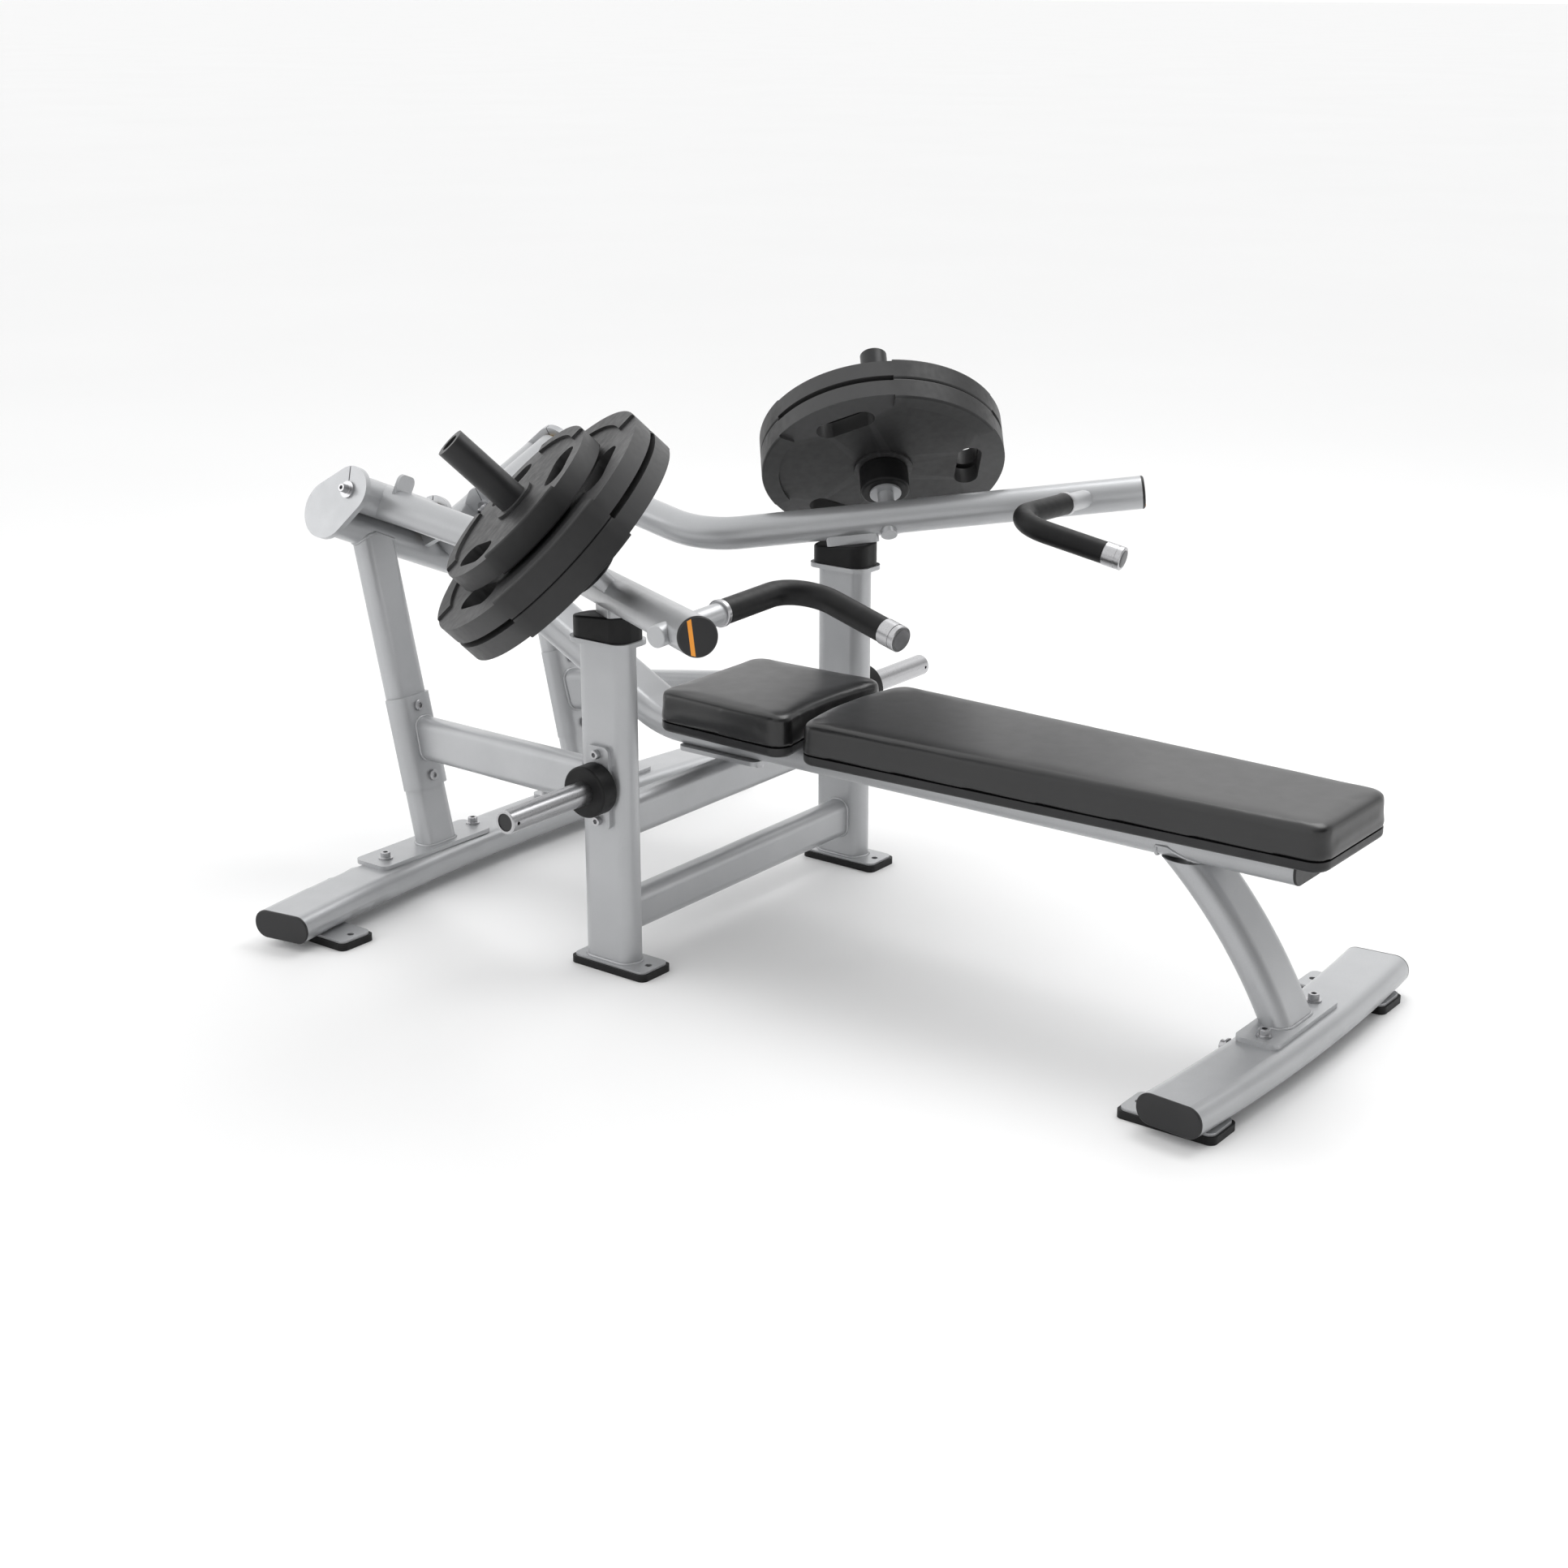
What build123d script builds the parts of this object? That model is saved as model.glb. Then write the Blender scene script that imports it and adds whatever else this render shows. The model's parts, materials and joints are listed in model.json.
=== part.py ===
"""Plate-loaded lying bench press machine with two converging arms, drawn at its real size.

Millimetres. +X points to the foot end of the bench, +Y to the user's left, +Z up, with the origin
on the floor under the middle of the machine. Places along X are counted from the front uprights.
The right side lies at -Y, and the left side is its mirror image.
"""

from build123d import *
import math
import os

# ---------------------------------------------------------------- driving dimensions
UPRIGHT_X = -202.5  # floor plates of the front uprights, from the middle of the machine
UPRIGHT_Y = 331.5
UPRIGHT_TUBE_X = -12.4  # front upright tubes, counted from their floor plates

WALL = 3.0  # steel tube wall
OVAL_DEPTH = 50.0  # thickness of every flat-oval tube
OVAL_RADIUS = 24.0
OVAL_WIDTH = 106.0  # bench rail, pivot beam and bench leg
UPRIGHT_WIDTH = 105.0
FOOT_WIDTH = 113.0
SMALL_DEPTH = 43.0  # thickness of the smaller flat-oval tubes
SMALL_RADIUS = 18.0
REAR_UPRIGHT_WIDTH = 80.0
SIDE_TUBE_HEIGHT = 80.0
CROSS_TUBE_HEIGHT = 72.0
SIDE_TUBE_REACH = 56.4  # where a side tube stops inside the front upright
SADDLE_WALL = 6.0

RUBBER_TOP = 12.0
FOOT_PLATE_TOP = 16.0
FOOT_TUBE_TOP = FOOT_PLATE_TOP + OVAL_DEPTH
BASE_PLATE_TOP = 74.0
FOOT_PLATE = (156.0, 68.0)
FOOT_RUBBER = (164.0, 76.0)
FOOT_PLATE_RADIUS = 12.0
FOOT_HOLE_OFFSET = 61.7
FOOT_HOLE_RADIUS = 6.0

REAR_FOOT_APEX = -567.0
REAR_FOOT_TIP = (-516.0, 628.0)
REAR_PLATE_SPOT = (-503.0, 540.0)
FRONT_FOOT_APEX = 1080.0
FRONT_FOOT_TIP = (1064.0, 353.0)
FRONT_PLATE_SPOT = (1043.5, 293.0)

REAR_UPRIGHT = (-558.5, 210.6)
REAR_UPRIGHT_LEAN = 0.227  # backwards travel per unit of height
UPRIGHT_CUT = -58.0  # rear upright's top inside the pivot beam, measured from the pivot axis
UPRIGHT_TOP = 570.0
FLANGE_TOP = 578.0
FLANGE = (126.0, 76.0, 24.0)  # length, width and corner radius
BUMPER = (117.0, 70.0, 26.0)

UPPER_CROSS = (-6.0, 261.0)
LOWER_CROSS = (-7.0, 90.5)
CROSS_FLANGE = 8.0

RAIL_BOTTOM = 305.0
RAIL_TOP = RAIL_BOTTOM + OVAL_DEPTH
RAIL_FOOT_END = 1092.0
RAIL_BEND_X = -150.9
RAIL_RISE = 0.5206  # slope of the rail behind its bend
RAIL_BEND_RADIUS = 200.0
RAIL_REAR_END = -690.0

LEG_TOP = 898.3
LEG_RADIUS = 793.1
LEG_TOP_ANGLE = math.radians(42.8)  # slope of the leg where it meets the rail
LEG_TURN_START, LEG_TURN = 40.0, 27.0
FRONT_BASE_X = 1075.0

BOARD_BOTTOM = 361.0
PAD_BOTTOM = 378.0
PAD_TOP = 435.0
HEAD_PAD = (-74.0, 216.0, 145.0, 155.0, (0.0, 20.0))  # ends, half widths, bows of the ends
BENCH_PAD = (242.0, 1168.0, 152.0, 117.0, (20.0, 0.0))
PAD_CORNER = 30.0
BOARD_INSET = 1.5
BRACKETS = (0.0, 130.0, 330.0, 620.0, 900.0)

PIVOT_TILT = math.radians(23.2)  # slope of each pivot axis, down towards the middle
HUB_SPOT = (-667.0, -209.0, 702.0)
HUB_RADIUS = 33.0
HUB_OUTER, HUB_INNER = 57.0, -134.0  # hub ends along the pivot axis
END_PLATE = (65.0, 77.0)
INNER_PLATE = (-154.0, -142.0)
BEAM_OFFSET = (-43.0, -41.0)  # pivot beam centre from the pivot axis, in the plate's plane
SHAFT_RADIUS = 15.0
BUSH_RADIUS = 22.0
RUNNING_GAP = 0.05

ARM_RADIUS = 30.15
ARM_WALL = 4.0
ARM_CORNER = (-224.5, -173.5, 626.4)
ARM_OVER_UPRIGHT = (0.0, -331.5, 654.3)
ARM_END = (427.0, -638.0, 713.4)
ARM_BEND_RADIUS = 190.0
STOP_PAD = 6.0
STOP_GAP = 0.3

HORN_FOOT = (54.4, -370.6, 661.6)
HORN_TIP = (-120.0, -566.4, 919.3)
HORN_RADIUS = 15.0
HORN_STUB = -35.0
COLLAR_START, COLLAR_END = 58.0, 108.0
COLLAR_RADIUS = 45.0
SLEEVE_RADIUS = 25.2
SLEEVE_END = 367.6

PLATE_BORE = 25.55
PLATE_GAP = 0.4
LARGE_PLATE = (225.0, 42.0)  # radius and pitch along the horn
SMALL_PLATE = (155.0, 44.0)
PLATE_SINK = 5.0
SECTOR = 62.0  # degrees of each sunk sector
SLOT_WIDTH = 44.0
LARGE_SLOT, SMALL_SLOT = 0.5, 0.6  # slot length as a share of the plate's radius
RIGHT_PHASE, LEFT_PHASE = 18.0, 82.0  # turn of the plates on each horn

HANDLE_RADIUS = 16.85
HANDLE_STUB = (354.0, -644.0, 702.3)
HANDLE_CORNER = (354.0, -298.0, 713.0)
HANDLE_END = (567.3, -331.0, 666.0)
HANDLE_BEND_RADIUS = 65.0
GRIP_RADIUS = 19.5
GRIP_START = 154.0  # from the stub's end
FERRULE_RADIUS = 20.5
FERRULE_LENGTH = 34.0

STORAGE_X = -13.4
STORAGE_Z = 326.5
STORAGE_PLATE = (48.0, 143.0)
STORAGE_BOLT_Z = (268.5, 384.5)
HORN_PLATE = 8.0
STORAGE_RADIUS = 20.0
STORAGE_ROOT_RADIUS = 18.0
STORAGE_COLLAR = (44.0, 36.0)  # radius and length
STORAGE_END = 587.0

LOW = (Align.CENTER, Align.CENTER, Align.MIN)
HIGH = (Align.CENTER, Align.CENTER, Align.MAX)

os.makedirs("parts", exist_ok=True)


# ---------------------------------------------------------------- helpers
def spot(x, y, z):
    """A point given from the front uprights."""
    return Vector(UPRIGHT_X + x, y, z)


def facing(origin, z_dir, x_dir=(0, 1, 0)):
    """A plane at origin whose normal is z_dir."""
    return Plane(origin=origin, x_dir=x_dir, z_dir=z_dir)


def both_sides(x, y, z, z_dir, x_dir=(1, 0, 0)):
    """The same seat on the right and on the left of the machine."""
    right = facing(spot(x, -y, z), z_dir, x_dir)
    left = facing(spot(x, y, z), (z_dir[0], -z_dir[1], z_dir[2]), x_dir)
    return [right, left]


def largest(part):
    """The biggest solid of a part, without the scrap that a cut leaves behind."""
    return part.solids().sort_by(SortBy.VOLUME)[-1]


def mirrored(right):
    """The left-hand twin of a right-hand piece."""
    with BuildPart() as left:
        mirror(right, about=Plane.XZ)
    return left.part


def oval_bar(plane, width, length, depth=OVAL_DEPTH, radius=OVAL_RADIUS, hollow=True):
    """Straight flat-oval tube from a plane, its width along the plane's X."""
    with BuildPart() as bar:
        with BuildSketch(plane):
            RectangleRounded(width, depth, radius)
            if hollow:
                bore = (width - 2 * WALL, depth - 2 * WALL)
                RectangleRounded(*bore, radius - WALL, mode=Mode.SUBTRACT)
        extrude(amount=length)
    return bar.part


def swept_oval(path, width, x_dir):
    """Flat-oval tube along a path, its width along x_dir."""
    bore = (width - 2 * WALL, OVAL_DEPTH - 2 * WALL)
    with BuildPart() as tube:
        with BuildSketch(facing(path @ 0, path % 0, x_dir)):
            RectangleRounded(width, OVAL_DEPTH, OVAL_RADIUS)
            RectangleRounded(*bore, OVAL_RADIUS - WALL, mode=Mode.SUBTRACT)
        sweep(path=path)
    return tube.part


def round_sweep(path, radius, bore=0.0):
    """Round tube or rod along a path."""
    with BuildPart() as tube:
        with BuildSketch(facing(path @ 0, path % 0, (0, 0, 1))):
            Circle(radius)
            if bore:
                Circle(bore, mode=Mode.SUBTRACT)
        sweep(path=path)
    return tube.part


def socket_bolts(seats, head, shank, washer=None):
    """Hex-socket bolts: head and shank are (radius, length), and seats are their planes."""
    lift = washer[1] if washer else 0.0
    with BuildPart() as bolts:
        for seat in seats:
            with Locations(seat.offset(lift)):
                Cylinder(*head, align=LOW)
            if washer:
                with Locations(seat):
                    Cylinder(*washer, align=LOW)
            with Locations(seat):
                Cylinder(*shank, align=HIGH)
            with BuildSketch(seat.offset(lift + head[1])):
                RegularPolygon(head[0] * 0.55, 6)
            extrude(amount=-head[1] * 0.6, mode=Mode.SUBTRACT)
        heads = bolts.edges().filter_by(GeomType.CIRCLE)
        chamfer(heads.filter_by(lambda e: abs(e.radius - head[0]) < 0.01), 0.08 * head[0])
    return bolts.part


def drilled(part, seats, radius, depth):
    """A part with a round hole sunk below each seat."""
    with BuildPart() as result:
        add(part)
        with Locations(*seats):
            Cylinder(radius, 2 * depth, mode=Mode.SUBTRACT)
    return result.part


def end_cap(plane, width):
    """Flat-oval tube plug with its lid outside the plane."""
    with BuildPart() as cap:
        with BuildSketch(plane):
            RectangleRounded(width, OVAL_DEPTH, OVAL_RADIUS)
        extrude(amount=4.0)
        chamfer(cap.faces().sort_by(Axis(plane.origin, plane.z_dir))[-1].edges(), 1.5)
        with BuildSketch(plane):
            bore = (width - 2 * WALL - 1.0, OVAL_DEPTH - 2 * WALL - 1.0)
            RectangleRounded(*bore, OVAL_RADIUS - WALL - 0.5)
        extrude(amount=-12.0)
    return cap.part


def floor_plate(x, y, bottom, top, size, holes):
    """Flat plate at the floor with bolt holes given as offsets along X."""
    with BuildPart() as plate:
        with BuildSketch(Plane(origin=spot(x, y, bottom))):
            RectangleRounded(*size, FOOT_PLATE_RADIUS)
            with Locations(*[(offset, 0) for offset in holes]):
                Circle(FOOT_HOLE_RADIUS, mode=Mode.SUBTRACT)
        extrude(amount=top - bottom)
    return plate.part


# ---------------------------------------------------------------- shared frames
tilt_cos, tilt_sin = math.cos(PIVOT_TILT), math.sin(PIVOT_TILT)
hub = spot(*HUB_SPOT)
pivot = Plane(origin=hub, x_dir=(1, 0, 0), z_dir=(0, -tilt_cos, tilt_sin))

arm_dir = (spot(*ARM_END) - spot(*ARM_OVER_UPRIGHT)).normalized()
arm_side = Vector(0, 0, 1).cross(arm_dir).normalized()
arm_up = arm_dir.cross(arm_side).normalized()
arm_frame = Plane(origin=spot(*ARM_OVER_UPRIGHT), x_dir=arm_dir, z_dir=arm_up)

horn_dir = (spot(*HORN_TIP) - spot(*HORN_FOOT)).normalized()
horn = Plane(origin=spot(*HORN_FOOT), x_dir=arm_dir.cross(horn_dir), z_dir=horn_dir)

beam_angle = math.degrees(math.atan2(BEAM_OFFSET[1], BEAM_OFFSET[0])) + 90.0


# ---------------------------------------------------------------- floor frame
def cross_foot(apex, tip, plate_spot, plate_hole):
    """Bowed foot tube with its two welded floor plates."""
    middle = FOOT_PLATE_TOP + OVAL_DEPTH / 2
    with BuildLine() as bow:
        ThreePointArc(spot(tip[0], -tip[1], middle), spot(apex, 0, middle), spot(*tip, middle))
    tube = swept_oval(bow.line, FOOT_WIDTH, (1, 0, 0))
    with BuildPart() as foot:
        add(tube)
        for side in (-1, 1):
            x, y = plate_spot[0], side * plate_spot[1]
            add(floor_plate(x, y, RUBBER_TOP, FOOT_PLATE_TOP + 1.0, FOOT_PLATE, [plate_hole]))
    left_end = facing(bow.line @ 1, bow.line % 1, (1, 0, 0))
    right_end = facing(bow.line @ 0, bow.line % 0 * -1, (1, 0, 0))
    return foot.part, [left_end, right_end]


rear_foot_tube, rear_ends = cross_foot(
    REAR_FOOT_APEX, REAR_FOOT_TIP, REAR_PLATE_SPOT, FOOT_HOLE_OFFSET
)
front_foot_tube, front_ends = cross_foot(
    FRONT_FOOT_APEX, FRONT_FOOT_TIP, FRONT_PLATE_SPOT, -FOOT_HOLE_OFFSET
)

outer_rear_seats = both_sides(-557, 340, BASE_PLATE_TOP, (0, 0, 1))
inner_rear_seats = both_sides(-567, 103, BASE_PLATE_TOP, (0, 0, 1))
rear_bolt_seats = outer_rear_seats + inner_rear_seats
leg_bolt_seats = both_sides(1078, 85, BASE_PLATE_TOP, (0, 0, 1))
side_bolt_seats = both_sides(1022, 90, 43, (-1, 0, 0), (0, 1, 0))

with BuildPart() as rear_cross_foot:
    add(drilled(rear_foot_tube, rear_bolt_seats, 6.3, 24.0))
rear_cross_foot.part.label = "rear_cross_foot"
export_step(rear_cross_foot.part, "parts/rear_cross_foot.step")

with BuildPart() as front_cross_foot:
    add(drilled(front_foot_tube, leg_bolt_seats + side_bolt_seats, 6.3, 24.0))
front_cross_foot.part.label = "front_cross_foot"
export_step(front_cross_foot.part, "parts/front_cross_foot.step")

with BuildPart() as foot_end_caps:
    for end in rear_ends + front_ends:
        add(end_cap(end, FOOT_WIDTH))
foot_end_caps.part.label = "foot_end_caps"
export_step(foot_end_caps.part, "parts/foot_end_caps.step")

with BuildPart() as floor_rubbers:
    for x, y, holes in (
        (*REAR_PLATE_SPOT, [FOOT_HOLE_OFFSET]),
        (*FRONT_PLATE_SPOT, [-FOOT_HOLE_OFFSET]),
        (0, UPRIGHT_Y, [-FOOT_HOLE_OFFSET, FOOT_HOLE_OFFSET]),
    ):
        add(floor_plate(x, -y, 0, RUBBER_TOP, FOOT_RUBBER, holes))
    mirror(about=Plane.XZ)
floor_rubbers.part.label = "floor_rubbers"
export_step(floor_rubbers.part, "parts/floor_rubbers.step")


# ---------------------------------------------------------------- pivot beam
def half_beam(hollow):
    """Right half of the V-shaped pivot beam, parallel to the right pivot axis."""
    start = pivot.offset(END_PLATE[0])
    with BuildPart() as half:
        with BuildSketch(start):
            with Locations(Location((*BEAM_OFFSET, 0), (0, 0, beam_angle))):
                RectangleRounded(OVAL_WIDTH, OVAL_DEPTH, OVAL_RADIUS)
                if hollow:
                    bore = (OVAL_WIDTH - 2 * WALL, OVAL_DEPTH - 2 * WALL)
                    RectangleRounded(*bore, OVAL_RADIUS - WALL, mode=Mode.SUBTRACT)
        extrude(amount=-400.0)
        split(bisect_by=Plane.XZ, keep=Keep.TOP)
    return half.part


with BuildPart() as pivot_beam:
    add(half_beam(True))
    mirror(about=Plane.XZ)
pivot_beam.part.label = "pivot_beam"
export_step(pivot_beam.part, "parts/pivot_beam.step")

with BuildPart() as beam_core:
    add(half_beam(False))
    mirror(about=Plane.XZ)


def pivot_plate(low, high, beam_radius):
    """Hanger plate: one lobe on the pivot axis, one over the beam, with a clamp slit."""
    with BuildPart() as plate:
        with BuildSketch(pivot.offset(low)):
            with BuildLine(mode=Mode.PRIVATE) as lobes:
                CenterArc((0, 0), 44.0, 0, 360)
                CenterArc(BEAM_OFFSET, beam_radius, 0, 360)
            make_hull(lobes.edges())
            Circle(SHAFT_RADIUS + 0.02, mode=Mode.SUBTRACT)
            with Locations(Location((-6.0, 31.0, 0), (0, 0, 100))):
                Rectangle(32.0, 2.5, mode=Mode.SUBTRACT)
        extrude(amount=high - low)
    return plate.part


with BuildPart() as pivot_end_plates:
    add(pivot_plate(*END_PLATE, 53.0))
    mirror(about=Plane.XZ)
pivot_end_plates.part.label = "pivot_end_plates"
export_step(pivot_end_plates.part, "parts/pivot_end_plates.step")

with BuildPart() as inner_plate:
    add(pivot_plate(*INNER_PLATE, 34.0))
    add(beam_core.part, mode=Mode.SUBTRACT)

with BuildPart() as pivot_inner_plates:
    add(largest(inner_plate.part))
    mirror(about=Plane.XZ)
pivot_inner_plates.part.label = "pivot_inner_plates"
export_step(pivot_inner_plates.part, "parts/pivot_inner_plates.step")

with BuildPart() as pivot_shafts:
    with Locations(pivot.offset(END_PLATE[1])):
        Cylinder(SHAFT_RADIUS, END_PLATE[1] - INNER_PLATE[0], align=HIGH)
    for end in (pivot.offset(END_PLATE[1]), pivot.offset(INNER_PLATE[0])):
        with Locations(end):
            Cylinder(6.3, 50.0, mode=Mode.SUBTRACT)
    mirror(about=Plane.XZ)
pivot_shafts.part.label = "pivot_shafts"
export_step(pivot_shafts.part, "parts/pivot_shafts.step")

inner_end = pivot.offset(INNER_PLATE[0])
inner_seat = Plane(origin=inner_end.origin, x_dir=inner_end.x_dir, z_dir=inner_end.z_dir * -1)
with BuildPart() as pivot_bolts:
    add(socket_bolts([pivot.offset(END_PLATE[1]), inner_seat], (7.5, 14.0), (6.0, 24.0), (15.5, 4.0)))
    mirror(about=Plane.XZ)
pivot_bolts.part.label = "pivot_bolts"
export_step(pivot_bolts.part, "parts/pivot_bolts.step")


# ---------------------------------------------------------------- rear uprights
lean = Vector(-REAR_UPRIGHT_LEAN, 0, 1).normalized()
lean_front = Vector(1, 0, REAR_UPRIGHT_LEAN).normalized()


def upright_axis(z):
    """Right rear upright's centre at a height."""
    return spot(REAR_UPRIGHT[0] - REAR_UPRIGHT_LEAN * (z - BASE_PLATE_TOP), -REAR_UPRIGHT[1], z)


def rear_upright_bar(hollow):
    """Leaning rear upright tube, cut level at its foot and under the pivot beam."""
    start = facing(upright_axis(BASE_PLATE_TOP - 20), lean)
    under_beam = facing(hub + pivot.y_dir * UPRIGHT_CUT, pivot.y_dir, (1, 0, 0))
    with BuildPart() as upright:
        add(oval_bar(start, REAR_UPRIGHT_WIDTH, 620.0, SMALL_DEPTH, SMALL_RADIUS, hollow))
        split(bisect_by=Plane.XY.offset(BASE_PLATE_TOP), keep=Keep.TOP)
        split(bisect_by=under_beam, keep=Keep.BOTTOM)
        add(beam_core.part, mode=Mode.SUBTRACT)
    return upright.part


saddle_face = SMALL_DEPTH / 2 + SADDLE_WALL
saddle_seats = [facing(upright_axis(z) + lean_front * saddle_face, lean_front) for z in (194.0, 323.0)]

with BuildPart() as rear_upright_right:
    add(drilled(rear_upright_bar(True), saddle_seats, 6.3, 16.0))
    with BuildSketch(Plane(origin=spot(-562, -236, FOOT_TUBE_TOP))):
        RectangleRounded(80, 280, 14)
    extrude(amount=BASE_PLATE_TOP - FOOT_TUBE_TOP)
    with Locations(rear_bolt_seats[0], rear_bolt_seats[2]):
        Cylinder(6.3, 30.0, mode=Mode.SUBTRACT)
rear_upright_right.part.label = "rear_upright_right"
export_step(rear_upright_right.part, "parts/rear_upright_right.step")

rear_upright_left = mirrored(rear_upright_right.part)
rear_upright_left.label = "rear_upright_left"
export_step(rear_upright_left, "parts/rear_upright_left.step")

with BuildPart() as foot_bolts:
    all_seats = rear_bolt_seats + leg_bolt_seats + side_bolt_seats
    add(socket_bolts(all_seats, (9.0, 10.0), (6.0, 20.0), (13.0, 2.5)))
foot_bolts.part.label = "foot_bolts"
export_step(foot_bolts.part, "parts/foot_bolts.step")


# ---------------------------------------------------------------- front uprights
def upright_plane(z):
    """Level plane on the right front upright's axis."""
    return Plane(origin=spot(UPRIGHT_TUBE_X, -UPRIGHT_Y, z))


upright_length = UPRIGHT_TOP - FOOT_PLATE_TOP
upright_core = oval_bar(upright_plane(FOOT_PLATE_TOP), UPRIGHT_WIDTH, upright_length, hollow=False)
upright_tube = oval_bar(upright_plane(FOOT_PLATE_TOP), UPRIGHT_WIDTH, upright_length)
outer_face = UPRIGHT_Y + OVAL_DEPTH / 2
plate_face = outer_face + HORN_PLATE
horn_bolt_seats = [
    facing(spot(STORAGE_X, -plate_face, z), (0, -1, 0), (1, 0, 0)) for z in STORAGE_BOLT_Z
]

with BuildPart() as front_upright_right:
    add(drilled(upright_tube, horn_bolt_seats, 5.3, 22.0))
    holes = [-FOOT_HOLE_OFFSET, FOOT_HOLE_OFFSET]
    add(floor_plate(0, -UPRIGHT_Y, RUBBER_TOP, FOOT_PLATE_TOP, FOOT_PLATE, holes))
    with BuildSketch(upright_plane(UPRIGHT_TOP)):
        RectangleRounded(*FLANGE)
    extrude(amount=FLANGE_TOP - UPRIGHT_TOP)
    with Locations(upright_plane(FLANGE_TOP)):
        Cylinder(4.3, 40.0, mode=Mode.SUBTRACT)
front_upright_right.part.label = "front_upright_right"
export_step(front_upright_right.part, "parts/front_upright_right.step")

front_upright_left = mirrored(front_upright_right.part)
front_upright_left.label = "front_upright_left"
export_step(front_upright_left, "parts/front_upright_left.step")

with BuildPart() as arm_bumpers:
    with BuildSketch(upright_plane(FLANGE_TOP)):
        RectangleRounded(*BUMPER)
    extrude(amount=80.0)
    with BuildSketch(arm_frame.offset(-ARM_RADIUS - STOP_PAD - STOP_GAP)):
        Rectangle(400, 400)
    extrude(amount=120.0, mode=Mode.SUBTRACT)
    fillet(arm_bumpers.faces().sort_by(Axis.Z)[-1].edges(), 4.0)
    with Locations(upright_plane(FLANGE_TOP)):
        Cylinder(4.3, 200.0, mode=Mode.SUBTRACT)
    with Locations(upright_plane(FLANGE_TOP + 14.0)):
        Cylinder(9.0, 100.0, align=LOW, mode=Mode.SUBTRACT)
    mirror(about=Plane.XZ)
arm_bumpers.part.label = "arm_bumpers"
export_step(arm_bumpers.part, "parts/arm_bumpers.step")

with BuildPart() as bumper_screws:
    bumper_seats = both_sides(UPRIGHT_TUBE_X, UPRIGHT_Y, FLANGE_TOP + 14.0, (0, 0, 1))
    add(socket_bolts(bumper_seats, (7.0, 8.0), (4.0, 28.0)))
bumper_screws.part.label = "bumper_screws"
export_step(bumper_screws.part, "parts/bumper_screws.step")


# ---------------------------------------------------------------- side and cross tubes
side_rear = spot(-549, -210, 270)
side_front = spot(-52, -UPRIGHT_Y, 321)
side_dir = (side_front - side_rear).normalized()
side_up = side_dir.cross(Vector(0, 1, 0)).normalized() * -1
side_start = facing(side_rear - side_dir * 60, side_dir, side_up)
saddle_outer = (REAR_UPRIGHT_WIDTH + 2 * SADDLE_WALL, SMALL_DEPTH + 2 * SADDLE_WALL)

with BuildPart() as saddle:
    with BuildSketch(facing(upright_axis(175.0), lean)):
        RectangleRounded(*saddle_outer, SMALL_RADIUS + SADDLE_WALL)
        RectangleRounded(REAR_UPRIGHT_WIDTH, SMALL_DEPTH, SMALL_RADIUS, mode=Mode.SUBTRACT)
        with Locations((0, SMALL_DEPTH)):
            Rectangle(300, SMALL_DEPTH * 1.7, mode=Mode.SUBTRACT)
    extrude(amount=172.0)

with BuildPart() as saddle_block:
    with BuildSketch(facing(upright_axis(100.0), lean)):
        RectangleRounded(*saddle_outer, SMALL_RADIUS + SADDLE_WALL)
    extrude(amount=300.0)

with BuildPart() as side_bar:
    add(oval_bar(side_start, SIDE_TUBE_HEIGHT, 640.0, SMALL_DEPTH, SMALL_RADIUS))
    split(bisect_by=Plane.YZ.offset(UPRIGHT_X - SIDE_TUBE_REACH), keep=Keep.BOTTOM)
    add(saddle_block.part, mode=Mode.SUBTRACT)
    add(upright_core, mode=Mode.SUBTRACT)

with BuildPart() as side_tube_right:
    add(largest(side_bar.part))
    add(saddle.part)
    with Locations(*saddle_seats):
        Cylinder(6.3, 40.0, mode=Mode.SUBTRACT)
side_tube_right.part.label = "side_tube_right"
export_step(side_tube_right.part, "parts/side_tube_right.step")

side_tube_left = mirrored(side_tube_right.part)
side_tube_left.label = "side_tube_left"
export_step(side_tube_left, "parts/side_tube_left.step")

with BuildPart() as saddle_bolts:
    add(socket_bolts(saddle_seats, (10.0, 6.0), (6.0, 14.0)))
    mirror(about=Plane.XZ)
saddle_bolts.part.label = "saddle_bolts"
export_step(saddle_bolts.part, "parts/saddle_bolts.step")

inner_face = UPRIGHT_Y - OVAL_DEPTH / 2


def cross_tube(centre):
    """Flat-oval tube on edge between the front uprights, its centre at (x, z)."""
    start = facing(spot(centre[0], -inner_face, centre[1]), (0, 1, 0), (0, 0, 1))
    return oval_bar(start, CROSS_TUBE_HEIGHT, 2 * inner_face, SMALL_DEPTH, SMALL_RADIUS)


with BuildPart() as lower_cross_tube:
    add(cross_tube(LOWER_CROSS))
lower_cross_tube.part.label = "lower_cross_tube"
export_step(lower_cross_tube.part, "parts/lower_cross_tube.step")

flange_bottom = RAIL_BOTTOM - CROSS_FLANGE
rail_bolt_seats = [
    facing(spot(x, y, flange_bottom), (0, 0, -1), (1, 0, 0)) for x in (-86.0, 58.0) for y in (-20.0, 20.0)
]
with BuildPart() as upper_cross_tube:
    add(cross_tube(UPPER_CROSS))
    with BuildSketch(Plane(origin=spot(-14, 0, flange_bottom))):
        RectangleRounded(176, 104, 14)
    extrude(amount=CROSS_FLANGE)
    with Locations(*rail_bolt_seats):
        Cylinder(5.3, 30.0, mode=Mode.SUBTRACT)
upper_cross_tube.part.label = "upper_cross_tube"
export_step(upper_cross_tube.part, "parts/upper_cross_tube.step")

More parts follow.
